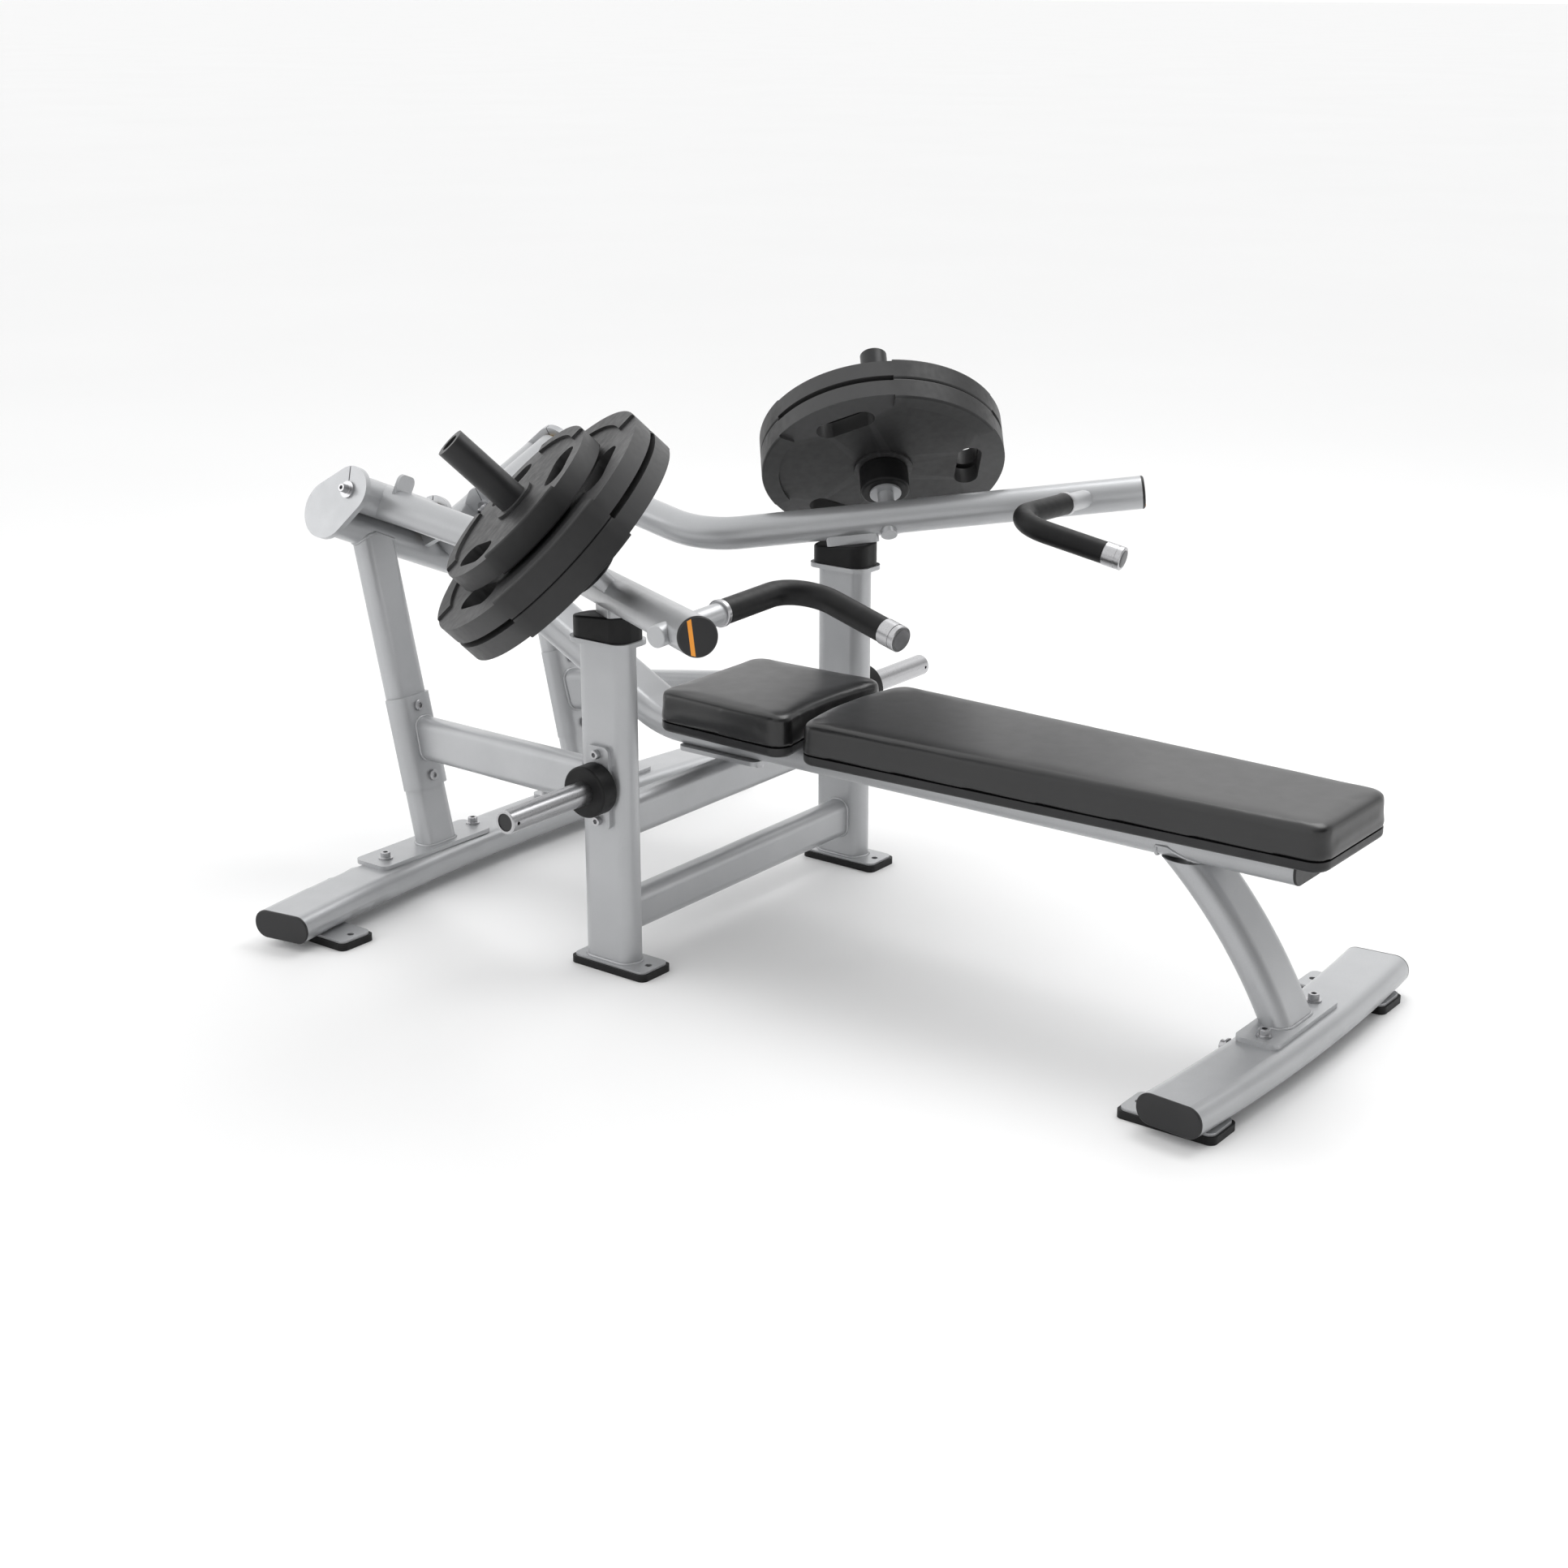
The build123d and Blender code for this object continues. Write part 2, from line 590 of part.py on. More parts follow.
with BuildPart() as rail_bolts:
    add(socket_bolts(rail_bolt_seats, (8.0, 9.0), (5.0, 16.0)))
rail_bolts.part.label = "rail_bolts"
export_step(rail_bolts.part, "parts/rail_bolts.step")

# ---------------------------------------------------------------- plate storage horns
with BuildPart() as storage_plates:
    with BuildSketch(facing(spot(STORAGE_X, -outer_face, STORAGE_Z), (0, -1, 0), (1, 0, 0))):
        RectangleRounded(*STORAGE_PLATE, 10)
    extrude(amount=HORN_PLATE)
    with Locations(*horn_bolt_seats):
        Cylinder(5.3, 40.0, mode=Mode.SUBTRACT)
    mirror(about=Plane.XZ)
storage_plates.part.label = "storage_plates"
export_step(storage_plates.part, "parts/storage_plates.step")

with BuildPart() as storage_bolts:
    add(socket_bolts(horn_bolt_seats, (8.0, 9.0), (5.0, 18.0)))
    mirror(about=Plane.XZ)
storage_bolts.part.label = "storage_bolts"
export_step(storage_bolts.part, "parts/storage_bolts.step")

storage_root = facing(spot(STORAGE_X, -plate_face, STORAGE_Z), (0, -1, 0), (1, 0, 0))
storage_length = STORAGE_END - plate_face
with BuildPart() as storage_horns:
    with Locations(storage_root):
        Cylinder(STORAGE_ROOT_RADIUS, storage_length, align=LOW)
    with Locations(storage_root.offset(STORAGE_COLLAR[1])):
        Cylinder(STORAGE_RADIUS, storage_length - STORAGE_COLLAR[1], align=LOW)
    rim = storage_horns.faces().sort_by(Axis.Y)[0].edges()
    chamfer(rim, 1.5)
    with Locations(storage_root):
        Cylinder(STORAGE_RADIUS - 5.0, 3 * storage_length, mode=Mode.SUBTRACT)
    with Locations(facing(spot(STORAGE_X, -STORAGE_END + 11, STORAGE_Z), (1, 0, 0))):
        Cylinder(3.0, 60.0, align=LOW, mode=Mode.SUBTRACT)
    mirror(about=Plane.XZ)
storage_horns.part.label = "storage_horns"
export_step(storage_horns.part, "parts/storage_horns.step")

with BuildPart() as storage_collars:
    with BuildSketch(storage_root):
        Circle(STORAGE_COLLAR[0])
        Circle(STORAGE_ROOT_RADIUS + 0.1, mode=Mode.SUBTRACT)
    extrude(amount=STORAGE_COLLAR[1] - 0.2)
    rims = storage_collars.edges().filter_by(GeomType.CIRCLE)
    fillet(rims.filter_by(lambda e: e.radius > STORAGE_COLLAR[0] - 1), 4.0)
    for bolt_seat in horn_bolt_seats:
        with Locations(bolt_seat):
            Cylinder(9.0, 30.0, mode=Mode.SUBTRACT)
    mirror(about=Plane.XZ)
storage_collars.part.label = "storage_collars"
export_step(storage_collars.part, "parts/storage_collars.step")

with BuildPart() as storage_plugs:
    with Locations(storage_root.offset(storage_length - 1.5)):
        Cylinder(STORAGE_RADIUS - 5.1, 6.0, align=HIGH)
    mirror(about=Plane.XZ)
storage_plugs.part.label = "storage_plugs"
export_step(storage_plugs.part, "parts/storage_plugs.step")

# ---------------------------------------------------------------- bench rail and leg
rail_mid = RAIL_BOTTOM + OVAL_DEPTH / 2
rail_rear_z = rail_mid + (RAIL_BEND_X - RAIL_REAR_END) * RAIL_RISE
with BuildLine() as rail_line:
    FilletPolyline(
        spot(RAIL_FOOT_END, 0, rail_mid),
        spot(RAIL_BEND_X, 0, rail_mid),
        spot(RAIL_REAR_END, 0, rail_rear_z),
        radius=RAIL_BEND_RADIUS,
    )
with BuildPart() as rail_bar:
    add(swept_oval(rail_line.line, OVAL_WIDTH, (0, 1, 0)))
    with BuildSketch(facing(rail_line.line @ 1, rail_line.line % 1)):
        RectangleRounded(OVAL_WIDTH, OVAL_DEPTH, OVAL_RADIUS)
    extrude(amount=-4.0)
    add(beam_core.part, mode=Mode.SUBTRACT)

with BuildPart() as bench_rail:
    add(largest(rail_bar.part))
    with Locations(*rail_bolt_seats):
        Cylinder(5.3, 60.0, mode=Mode.SUBTRACT)
bench_rail.part.label = "bench_rail"
export_step(bench_rail.part, "parts/bench_rail.step")

with BuildPart() as rail_end_cap:
    add(end_cap(facing(spot(RAIL_FOOT_END, 0, rail_mid), (1, 0, 0)), OVAL_WIDTH))
rail_end_cap.part.label = "rail_end_cap"
export_step(rail_end_cap.part, "parts/rail_end_cap.step")

leg_back = LEG_RADIUS * math.sin(LEG_TOP_ANGLE)
leg_down = LEG_RADIUS * math.cos(LEG_TOP_ANGLE)
leg_centre = spot(LEG_TOP - leg_back, 0, RAIL_BOTTOM - leg_down)
with BuildLine(Plane.XZ) as leg_line:
    CenterArc((leg_centre.X, leg_centre.Z), LEG_RADIUS, 90 - LEG_TURN_START, -LEG_TURN)
with BuildPart() as bench_leg:
    add(swept_oval(leg_line.line, OVAL_WIDTH, (0, 1, 0)))
    split(bisect_by=Plane.XY.offset(RAIL_BOTTOM), keep=Keep.BOTTOM)
    split(bisect_by=Plane.XY.offset(BASE_PLATE_TOP), keep=Keep.TOP)
    with BuildSketch(Plane(origin=spot(FRONT_BASE_X, 0, FOOT_TUBE_TOP))):
        RectangleRounded(74, 222, 14)
    extrude(amount=BASE_PLATE_TOP - FOOT_TUBE_TOP)
    with Locations(*leg_bolt_seats):
        Cylinder(6.3, 30.0, mode=Mode.SUBTRACT)
bench_leg.part.label = "bench_leg"
export_step(bench_leg.part, "parts/bench_leg.step")


# ---------------------------------------------------------------- bench pads
def pad_edge(x, half, bow):
    """One end of a pad's outline, straight or bowed towards the head."""
    if bow:
        return ThreePointArc(spot(x, -half, 0), spot(x - bow, 0, 0), spot(x, half, 0))
    return Line(spot(x, -half, 0), spot(x, half, 0))


def pad_outline(low_x, high_x, low_half, high_half, bulge, inset=0.0):
    """Pad plan: straight long sides, the head-side or foot-side edge bowed by bulge."""
    low_bow, high_bow = bulge
    low, high = low_x + inset, high_x - inset
    a, b = low_half - inset, high_half - inset
    with BuildSketch() as plan:
        with BuildLine():
            left = pad_edge(low, a, low_bow)
            right = pad_edge(high, b, high_bow)
            Line(left @ 0, right @ 0)
            Line(left @ 1, right @ 1)
        make_face()
        fillet(plan.vertices(), PAD_CORNER - inset)
    return plan.sketch


screw_seats = [
    facing(spot(x, y, RAIL_TOP), (0, 0, -1), (1, 0, 0)) for x in BRACKETS for y in (-75.0, 75.0)
]


def cushion(outline):
    """Upholstered pad as a plain solid with softened top edges."""
    with BuildPart() as pad:
        with BuildSketch(Plane.XY.offset(PAD_BOTTOM)):
            add(pad_outline(*outline))
        extrude(amount=PAD_TOP - PAD_BOTTOM)
        fillet(pad.faces().sort_by(Axis.Z)[-1].edges(), 12.0)
    return pad.part


def pad_board(outline):
    """Moulded board under a pad, just inside its edge, with its screw holes."""
    with BuildPart() as board:
        with BuildSketch(Plane.XY.offset(BOARD_BOTTOM)):
            add(pad_outline(*outline, inset=BOARD_INSET))
        extrude(amount=PAD_BOTTOM - BOARD_BOTTOM)
        fillet(board.faces().sort_by(Axis.Z)[0].edges(), 8.0)
        with Locations(*screw_seats):
            Cylinder(4.3, 40.0, mode=Mode.SUBTRACT)
    return board.part


with BuildPart() as head_pad:
    add(cushion(HEAD_PAD))
head_pad.part.label = "head_pad"
export_step(head_pad.part, "parts/head_pad.step")

with BuildPart() as bench_pad:
    add(cushion(BENCH_PAD))
bench_pad.part.label = "bench_pad"
export_step(bench_pad.part, "parts/bench_pad.step")

with BuildPart() as head_pad_board:
    add(pad_board(HEAD_PAD))
head_pad_board.part.label = "head_pad_board"
export_step(head_pad_board.part, "parts/head_pad_board.step")

with BuildPart() as bench_pad_board:
    add(pad_board(BENCH_PAD))
bench_pad_board.part.label = "bench_pad_board"
export_step(bench_pad_board.part, "parts/bench_pad_board.step")

with BuildPart() as pad_brackets:
    for x in BRACKETS:
        with BuildSketch(Plane(origin=spot(x, 0, RAIL_TOP))):
            RectangleRounded(46, 184, 10)
        extrude(amount=BOARD_BOTTOM - RAIL_TOP)
    with Locations(*screw_seats):
        Cylinder(4.3, 40.0, mode=Mode.SUBTRACT)
pad_brackets.part.label = "pad_brackets"
export_step(pad_brackets.part, "parts/pad_brackets.step")

with BuildPart() as pad_screws:
    add(socket_bolts(screw_seats, (7.0, 5.0), (4.0, 20.0)))
pad_screws.part.label = "pad_screws"
export_step(pad_screws.part, "parts/pad_screws.step")

# ---------------------------------------------------------------- press arm
with BuildLine() as arm_line:
    FilletPolyline(hub, spot(*ARM_CORNER), spot(*ARM_END), radius=ARM_BEND_RADIUS)
arm_core = round_sweep(arm_line.line, ARM_RADIUS)
arm_tube = round_sweep(arm_line.line, ARM_RADIUS, ARM_RADIUS - ARM_WALL)

stub, corner, tip = spot(*HANDLE_STUB), spot(*HANDLE_CORNER), spot(*HANDLE_END)
leg_one = (corner - stub).normalized()
leg_two = (tip - corner).normalized()
with BuildLine() as handle_line:
    FilletPolyline(stub, corner, tip - leg_two * 3.0, radius=HANDLE_BEND_RADIUS)
grip_ends = (stub + leg_one * GRIP_START, tip - leg_two * FERRULE_LENGTH)
with BuildLine() as grip_line:
    FilletPolyline(grip_ends[0], corner, grip_ends[1], radius=HANDLE_BEND_RADIUS)

first_dir = (spot(*ARM_CORNER) - hub).normalized()
gusset_spot = hub + first_dir * 46.0

with BuildPart() as arm_right:
    with Locations(pivot.offset(HUB_OUTER)):
        Cylinder(HUB_RADIUS, HUB_OUTER - HUB_INNER, align=HIGH)
    add(arm_core)
    with BuildSketch(facing(gusset_spot, first_dir, pivot.z_dir)):
        with Locations((0, -24.0)):
            RectangleRounded(46, 70, 14)
    extrude(amount=3.0, both=True)
    with BuildSketch(arm_frame.offset(-ARM_RADIUS - STOP_PAD)):
        RectangleRounded(96, 40, 8)
    extrude(amount=ARM_RADIUS)
    add(round_sweep(arm_line.line, ARM_RADIUS - ARM_WALL), mode=Mode.SUBTRACT)
    with Locations(pivot.offset(HUB_OUTER)):
        Cylinder(HUB_RADIUS, HUB_OUTER - HUB_INNER, align=HIGH)
    with Locations(pivot.offset(HUB_OUTER + 1)):
        Cylinder(BUSH_RADIUS, HUB_OUTER - HUB_INNER + 2, align=HIGH, mode=Mode.SUBTRACT)
    with Locations(horn):
        Cylinder(HORN_RADIUS + 0.1, 140.0, mode=Mode.SUBTRACT)
    with Locations(facing(stub, leg_one)):
        Cylinder(HANDLE_RADIUS + 0.1, 200.0, align=LOW, mode=Mode.SUBTRACT)
arm_right.part.label = "arm_right"
export_step(arm_right.part, "parts/arm_right.step")

arm_left = mirrored(arm_right.part)
arm_left.label = "arm_left"
export_step(arm_left, "parts/arm_left.step")

with BuildPart() as hub_bushes_right:
    for seat, flange, turn in ((HUB_OUTER, 7.5, 1), (HUB_INNER, 7.5, -1)):
        face = pivot.offset(seat)
        outward = Plane(origin=face.origin, x_dir=face.x_dir, z_dir=face.z_dir * turn)
        with Locations(outward):
            Cylinder(28.0, flange, align=LOW)
            Cylinder(BUSH_RADIUS - 0.02, 40.0, align=HIGH)
            Cylinder(SHAFT_RADIUS + RUNNING_GAP, 120.0, mode=Mode.SUBTRACT)
hub_bushes_right.part.label = "hub_bushes_right"
export_step(hub_bushes_right.part, "parts/hub_bushes_right.step")

hub_bushes_left = mirrored(hub_bushes_right.part)
hub_bushes_left.label = "hub_bushes_left"
export_step(hub_bushes_left, "parts/hub_bushes_left.step")

with BuildPart() as arm_cap_right:
    with Locations(facing(arm_line.line @ 1, arm_line.line % 1)):
        Cylinder(ARM_RADIUS, 5.0, align=LOW)
        Cylinder(ARM_RADIUS - ARM_WALL - 0.3, 14.0, align=HIGH)
    outward = Axis(arm_line.line @ 1, arm_line.line % 1)
    lip = arm_cap_right.edges().filter_by(GeomType.CIRCLE).sort_by(outward)
    chamfer(lip[-1], 2.0)
arm_cap_right.part.label = "arm_cap_right"
export_step(arm_cap_right.part, "parts/arm_cap_right.step")

arm_cap_left = mirrored(arm_cap_right.part)
arm_cap_left.label = "arm_cap_left"
export_step(arm_cap_left, "parts/arm_cap_left.step")

with BuildPart() as handle_right:
    add(round_sweep(handle_line.line, HANDLE_RADIUS, HANDLE_RADIUS - WALL))
    with Locations(facing(stub, leg_one * -1)):
        Cylinder(HANDLE_RADIUS, 5.0, align=HIGH)
    outer_end = handle_right.faces().sort_by(Axis(stub, leg_one))[0]
    fillet(outer_end.edges(), 2.0)
handle_right.part.label = "handle_right"
export_step(handle_right.part, "parts/handle_right.step")

handle_left = mirrored(handle_right.part)
handle_left.label = "handle_left"
export_step(handle_left, "parts/handle_left.step")

with BuildPart() as grip_right:
    add(round_sweep(grip_line.line, GRIP_RADIUS, HANDLE_RADIUS + 0.1))
grip_right.part.label = "grip_right"
export_step(grip_right.part, "parts/grip_right.step")

grip_left = mirrored(grip_right.part)
grip_left.label = "grip_left"
export_step(grip_left, "parts/grip_left.step")

with BuildPart() as grip_ferrules_right:
    with Locations(facing(tip, leg_two)):
        Cylinder(FERRULE_RADIUS, FERRULE_LENGTH, align=HIGH)
    with Locations(facing(tip - leg_two * 3.0, leg_two)):
        Cylinder(HANDLE_RADIUS + 0.1, FERRULE_LENGTH, align=HIGH, mode=Mode.SUBTRACT)
    with Locations(facing(grip_ends[0], leg_one)):
        Cylinder(FERRULE_RADIUS + 0.5, 9.0, align=HIGH)
        Cylinder(HANDLE_RADIUS + 0.1, 30.0, mode=Mode.SUBTRACT)
    round_rims = grip_ferrules_right.edges().filter_by(GeomType.CIRCLE)
    chamfer(round_rims.filter_by(lambda e: e.radius > FERRULE_RADIUS - 0.2), 1.2)
    with BuildSketch(facing(tip - leg_two * 11.0, leg_two)):
        Circle(FERRULE_RADIUS + 1.0)
        Circle(FERRULE_RADIUS - 0.8, mode=Mode.SUBTRACT)
    extrude(amount=1.6, mode=Mode.SUBTRACT)
grip_ferrules_right.part.label = "grip_ferrules_right"
export_step(grip_ferrules_right.part, "parts/grip_ferrules_right.step")

grip_ferrules_left = mirrored(grip_ferrules_right.part)
grip_ferrules_left.label = "grip_ferrules_left"
export_step(grip_ferrules_left, "parts/grip_ferrules_left.step")

# ---------------------------------------------------------------- weight horn
with BuildPart() as weight_horn_right:
    with Locations(horn.offset(HORN_STUB)):
        Cylinder(HORN_RADIUS, SLEEVE_END - 14.0 - HORN_STUB, align=LOW)
    with Locations(horn.offset(COLLAR_START - 4.0)):
        Cylinder(29.0, 4.0, align=LOW)
    with BuildSketch(horn.offset(SLEEVE_END - 14.0)):
        RegularPolygon(10.0, 6)
    extrude(amount=9.0)
weight_horn_right.part.label = "weight_horn_right"
export_step(weight_horn_right.part, "parts/weight_horn_right.step")

weight_horn_left = mirrored(weight_horn_right.part)
weight_horn_left.label = "weight_horn_left"
export_step(weight_horn_left, "parts/weight_horn_left.step")

with BuildPart() as horn_collar_right:
    with BuildSketch(horn.offset(COLLAR_START)):
        Circle(COLLAR_RADIUS)
        Circle(HORN_RADIUS + 0.1, mode=Mode.SUBTRACT)
    extrude(amount=COLLAR_END - COLLAR_START)
    collar_rims = horn_collar_right.edges().filter_by(GeomType.CIRCLE)
    fillet(collar_rims.filter_by(lambda e: e.radius > COLLAR_RADIUS - 1), 5.0)
horn_collar_right.part.label = "horn_collar_right"
export_step(horn_collar_right.part, "parts/horn_collar_right.step")

horn_collar_left = mirrored(horn_collar_right.part)
horn_collar_left.label = "horn_collar_left"
export_step(horn_collar_left, "parts/horn_collar_left.step")

with BuildPart() as horn_sleeve_right:
    with BuildSketch(horn.offset(COLLAR_END)):
        Circle(SLEEVE_RADIUS)
        Circle(HORN_RADIUS + 0.1, mode=Mode.SUBTRACT)
    extrude(amount=SLEEVE_END - COLLAR_END)
horn_sleeve_right.part.label = "horn_sleeve_right"
export_step(horn_sleeve_right.part, "parts/horn_sleeve_right.step")

horn_sleeve_left = mirrored(horn_sleeve_right.part)
horn_sleeve_left.label = "horn_sleeve_left"
export_step(horn_sleeve_left, "parts/horn_sleeve_left.step")


# ---------------------------------------------------------------- weight plates
def weight_plate(start, radius, pitch, slot, phase):
    """Cast plate on the horn: raised hub and rim, three sunk sectors, each with a hand slot."""
    low, high = start + PLATE_GAP / 2, start + pitch - PLATE_GAP / 2
    hub_edge, rim_edge = 0.24 * radius, 0.86 * radius
    with BuildPart() as plate:
        with Locations(horn.offset(low)):
            Cylinder(radius, high - low, align=LOW)
        fillet(plate.edges().filter_by(GeomType.CIRCLE), 4.0)
        for face, depth in ((low, PLATE_SINK), (high, -PLATE_SINK)):
            with BuildSketch(horn.offset(face)):
                Circle(rim_edge)
                Circle(hub_edge, mode=Mode.SUBTRACT)
                for turn in (0, 120, 240):
                    with BuildLine():
                        inner = CenterArc((0, 0), 0.5 * radius, phase + turn - SECTOR / 2, SECTOR)
                        outer = CenterArc((0, 0), 1.1 * radius, phase + turn - SECTOR / 2, SECTOR)
                        Line(inner @ 0, outer @ 0)
                        Line(inner @ 1, outer @ 1)
                    make_face()
            extrude(amount=depth, mode=Mode.SUBTRACT)
        with BuildSketch(horn.offset(low)):
            with PolarLocations(0.7 * radius, 3, start_angle=phase):
                SlotOverall(slot * radius, SLOT_WIDTH, rotation=90)
        extrude(amount=high - low, mode=Mode.SUBTRACT)
        with Locations(horn.offset(low)):
            Cylinder(PLATE_BORE, 3 * pitch, mode=Mode.SUBTRACT)
    return plate.part


stack = COLLAR_END
for order, (radius, pitch), slot in (
    ("inner", LARGE_PLATE, LARGE_SLOT),
    ("middle", LARGE_PLATE, LARGE_SLOT),
    ("outer", SMALL_PLATE, SMALL_SLOT),
):
    plate_right = weight_plate(stack, radius, pitch, slot, RIGHT_PHASE)
    plate_right.label = f"{order}_weight_right"
    export_step(plate_right, f"parts/{order}_weight_right.step")
    plate_left = mirrored(weight_plate(stack, radius, pitch, slot, LEFT_PHASE))
    plate_left.label = f"{order}_weight_left"
    export_step(plate_left, f"parts/{order}_weight_left.step")
    stack += pitch
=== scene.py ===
"""Looks for the lying bench press machine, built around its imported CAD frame."""

import json
import math

import bmesh
import bpy
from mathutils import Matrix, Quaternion, Vector
from mathutils.bvhtree import BVHTree


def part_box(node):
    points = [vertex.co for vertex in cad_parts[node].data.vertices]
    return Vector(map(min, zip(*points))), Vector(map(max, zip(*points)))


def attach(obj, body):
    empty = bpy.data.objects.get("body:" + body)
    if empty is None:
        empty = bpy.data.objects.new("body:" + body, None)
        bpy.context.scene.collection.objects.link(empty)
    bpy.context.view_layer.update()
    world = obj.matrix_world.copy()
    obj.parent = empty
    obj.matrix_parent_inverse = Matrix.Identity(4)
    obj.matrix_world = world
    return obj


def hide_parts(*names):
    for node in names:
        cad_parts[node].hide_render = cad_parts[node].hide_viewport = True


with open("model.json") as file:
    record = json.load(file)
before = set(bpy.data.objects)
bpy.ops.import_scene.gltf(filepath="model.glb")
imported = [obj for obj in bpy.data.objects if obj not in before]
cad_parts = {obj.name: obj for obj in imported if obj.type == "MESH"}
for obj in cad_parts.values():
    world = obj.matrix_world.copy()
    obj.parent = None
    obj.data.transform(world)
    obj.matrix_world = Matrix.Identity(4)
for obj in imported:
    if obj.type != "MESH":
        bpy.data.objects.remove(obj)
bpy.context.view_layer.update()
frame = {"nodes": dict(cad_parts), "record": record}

SLOTS = {entry["node"]: entry["material_slot"] for entry in frame["record"]["subparts"]}

# ---------------------------------------------------------------- camera
CAMERA_PLACE = (2.3425, -3.2255, 1.6028)
CAMERA_AZIMUTH = math.radians(37.19)
CAMERA_ELEVATION = math.radians(18.37)
CAMERA_LENS = 55.87


# ---------------------------------------------------------------- materials
def nodes_of(name):
    """A new material with its node tree, shader and object coordinates."""
    material = bpy.data.materials.new(name)
    material.use_nodes = True
    tree = material.node_tree
    shader = tree.nodes["Principled BSDF"]
    place = tree.nodes.new("ShaderNodeTexCoord")
    return material, tree, shader, place.outputs["Object"]


def noise(tree, place, scale, detail=4.0, rough=0.55):
    """Noise value in the object's own coordinates."""
    texture = tree.nodes.new("ShaderNodeTexNoise")
    texture.inputs["Scale"].default_value = scale
    texture.inputs["Detail"].default_value = detail
    texture.inputs["Roughness"].default_value = rough
    tree.links.new(place, texture.inputs["Vector"])
    return texture.outputs["Fac"]


def cells(tree, place, scale, feature="F1"):
    """Distance to the nearest cell point, for pebbled grain."""
    texture = tree.nodes.new("ShaderNodeTexVoronoi")
    texture.feature = feature
    texture.inputs["Scale"].default_value = scale
    tree.links.new(place, texture.inputs["Vector"])
    return texture.outputs["Distance"]


def ramp(tree, value, low, high, start=0.3, end=0.7):
    """Two colours spread over a value."""
    node = tree.nodes.new("ShaderNodeValToRGB")
    node.color_ramp.elements[0].position = start
    node.color_ramp.elements[1].position = end
    node.color_ramp.elements[0].color = (*low, 1)
    node.color_ramp.elements[1].color = (*high, 1)
    tree.links.new(value, node.inputs["Fac"])
    return node.outputs["Color"]


def spread(tree, value, low, high):
    """A value moved into a range."""
    node = tree.nodes.new("ShaderNodeMapRange")
    node.inputs["From Min"].default_value = 0.3
    node.inputs["From Max"].default_value = 0.7
    node.inputs["To Min"].default_value = low
    node.inputs["To Max"].default_value = high
    tree.links.new(value, node.inputs["Value"])
    return node.outputs["Result"]


def bump(tree, shader, layers):
    """Stacked bumps: each layer is a value, its strength and its depth in metres."""
    normal = None
    for value, strength, depth in layers:
        node = tree.nodes.new("ShaderNodeBump")
        node.inputs["Strength"].default_value = strength
        node.inputs["Distance"].default_value = depth
        tree.links.new(value, node.inputs["Height"])
        if normal:
            tree.links.new(normal, node.inputs["Normal"])
        normal = node.outputs["Normal"]
    tree.links.new(normal, shader.inputs["Normal"])


def powder_coat():
    """Light silver powder coat: fine orange peel with a faint metal fleck."""
    material, tree, shader, place = nodes_of("powder_coat")
    cloud = noise(tree, place, 7.0, 3.0)
    fleck = noise(tree, place, 2600.0, 1.0)
    peel = noise(tree, place, 520.0, 2.0)
    base = ramp(tree, cloud, (0.415, 0.422, 0.433), (0.455, 0.462, 0.473))
    dust = ramp(tree, fleck, (0.90, 0.90, 0.90), (1.10, 1.10, 1.10), 0.35, 0.65)
    mix = tree.nodes.new("ShaderNodeMix")
    mix.data_type = "RGBA"
    mix.blend_type = "MULTIPLY"
    mix.inputs["Factor"].default_value = 1.0
    tree.links.new(base, mix.inputs["A"])
    tree.links.new(dust, mix.inputs["B"])
    tree.links.new(mix.outputs["Result"], shader.inputs["Base Color"])
    tree.links.new(spread(tree, noise(tree, place, 40.0), 0.32, 0.40), shader.inputs["Roughness"])
    shader.inputs["Metallic"].default_value = 0.45
    shader.inputs["Coat Weight"].default_value = 0.25
    shader.inputs["Coat Roughness"].default_value = 0.22
    bump(tree, shader, [(peel, 0.10, 0.0006), (fleck, 0.05, 0.0002)])
    return material


def black_rubber():
    """Moulded rubber: matt black with a fine grain."""
    material, tree, shader, place = nodes_of("black_rubber")
    colour = ramp(tree, noise(tree, place, 22.0), (0.004, 0.004, 0.0045), (0.008, 0.008, 0.0085))
    tree.links.new(colour, shader.inputs["Base Color"])
    tree.links.new(spread(tree, noise(tree, place, 90.0), 0.42, 0.52), shader.inputs["Roughness"])
    shader.inputs["Specular IOR Level"].default_value = 0.25
    bump(tree, shader, [(noise(tree, place, 1100.0, 2.0), 0.22, 0.0004)])
    return material


def black_plastic():
    """Injection-moulded plastic with spark-eroded grain."""
    material, tree, shader, place = nodes_of("black_plastic")
    colour = ramp(tree, noise(tree, place, 15.0), (0.010, 0.010, 0.011), (0.018, 0.018, 0.019))
    tree.links.new(colour, shader.inputs["Base Color"])
    tree.links.new(spread(tree, noise(tree, place, 60.0), 0.36, 0.46), shader.inputs["Roughness"])
    shader.inputs["Specular IOR Level"].default_value = 0.4
    bump(tree, shader, [(cells(tree, place, 1500.0), 0.10, 0.0002)])
    return material


def vinyl():
    """Upholstery vinyl: smooth satin black with a very fine pebbled grain."""
    material, tree, shader, place = nodes_of("upholstery_vinyl")
    colour = ramp(tree, noise(tree, place, 9.0), (0.005, 0.005, 0.0055), (0.008, 0.008, 0.0085))
    tree.links.new(colour, shader.inputs["Base Color"])
    tree.links.new(spread(tree, noise(tree, place, 30.0), 0.30, 0.35), shader.inputs["Roughness"])
    shader.inputs["Specular IOR Level"].default_value = 0.62
    pebbles = cells(tree, place, 900.0, "SMOOTH_F1")
    bump(tree, shader, [(pebbles, 0.10, 0.0003)])
    return material


